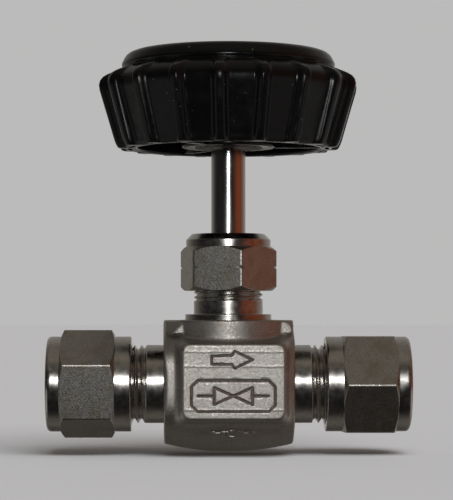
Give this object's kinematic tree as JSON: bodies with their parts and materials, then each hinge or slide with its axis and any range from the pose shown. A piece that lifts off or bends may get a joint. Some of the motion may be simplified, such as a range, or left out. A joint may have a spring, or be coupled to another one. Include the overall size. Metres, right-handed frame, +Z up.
{
  "type": "needle valve",
  "caption": "Straight needle valve with forged body, twin-ferrule tube fittings at both ends, packing nut, rising stem and fluted round knob.",
  "frame": {"origin": "where the stem's axis crosses the flow axis, in the middle of the body", "axes": "+X along the flow from the inlet to the outlet, +Z up the stem to the knob, -Y out of the face with the flow arrow"},
  "size_m": [0.0662, 0.0476, 0.0735],
  "materials": {
    "body": "forged and tumbled, grainy satin",
    "fittings": "machined, satin",
    "stem": "ground and polished",
    "knob": "moulded, glossy",
    "insert": "turned",
    "packing": "moulded, waxy",
    "screw": "blackened"
  },
  "bodies": {
    "valve": {"valve_body": "body", "packing_washer": "fittings", "packing_lower_adapter": "packing", "packing_ring_1": "packing", "packing_ring_2": "packing", "packing_ring_3": "packing", "packing_upper_adapter": "packing", "inlet_front_ferrule": "fittings", "outlet_front_ferrule": "fittings"},
    "needle": {"needle_tip": "fittings"},
    "handwheel": {"stem": "stem", "tip_retainer": "fittings", "knob_insert": "insert", "knob": "knob", "knob_set_screw": "screw"},
    "gland": {"packing_gland": "fittings"},
    "packing_nut": {"packing_nut": "fittings"},
    "inlet_ferrule": {"inlet_rear_ferrule": "fittings"},
    "inlet_nut": {"inlet_nut": "fittings"},
    "outlet_ferrule": {"outlet_rear_ferrule": "fittings"},
    "outlet_nut": {"outlet_nut": "fittings"}
  },
  "joints": [
    {"name": "stem_lift", "type": "slide", "parent": "valve", "child": "needle", "axis": [0, 0, 1], "range_m": [0, 0.0053]},
    {"name": "stem_turn", "type": "hinge", "parent": "needle", "child": "handwheel", "pos_m": [0, 0, 0], "axis": [0, 0, 1], "range_deg": [0, 1800]},
    {"name": "packing_nut_lift", "type": "slide", "parent": "valve", "child": "gland", "axis": [0, 0, 1], "range_m": [0, 0.00685]},
    {"name": "packing_nut_turn", "type": "hinge", "parent": "gland", "child": "packing_nut", "pos_m": [0, 0, 0], "axis": [0, 0, 1], "range_deg": [0, 2700]},
    {"name": "inlet_nut_travel", "type": "slide", "parent": "valve", "child": "inlet_ferrule", "axis": [-1, 0, 0], "range_m": [0, 0.00925]},
    {"name": "inlet_nut_turn", "type": "hinge", "parent": "inlet_ferrule", "child": "inlet_nut", "pos_m": [0, 0, 0], "axis": [-1, 0, 0], "range_deg": [0, 2610]},
    {"name": "outlet_nut_travel", "type": "slide", "parent": "valve", "child": "outlet_ferrule", "axis": [1, 0, 0], "range_m": [0, 0.00925]},
    {"name": "outlet_nut_turn", "type": "hinge", "parent": "outlet_ferrule", "child": "outlet_nut", "pos_m": [0, 0, 0], "axis": [1, 0, 0], "range_deg": [0, 2610]}
  ],
  "couplings": [
    {"joint": "stem_lift", "follows": "stem_turn", "m_per_rad": 0.00016844},
    {"joint": "packing_nut_lift", "follows": "packing_nut_turn", "m_per_rad": 0.00014438},
    {"joint": "inlet_nut_travel", "follows": "inlet_nut_turn", "m_per_rad": 0.00020213},
    {"joint": "outlet_nut_travel", "follows": "outlet_nut_turn", "m_per_rad": 0.00020213}
  ]
}
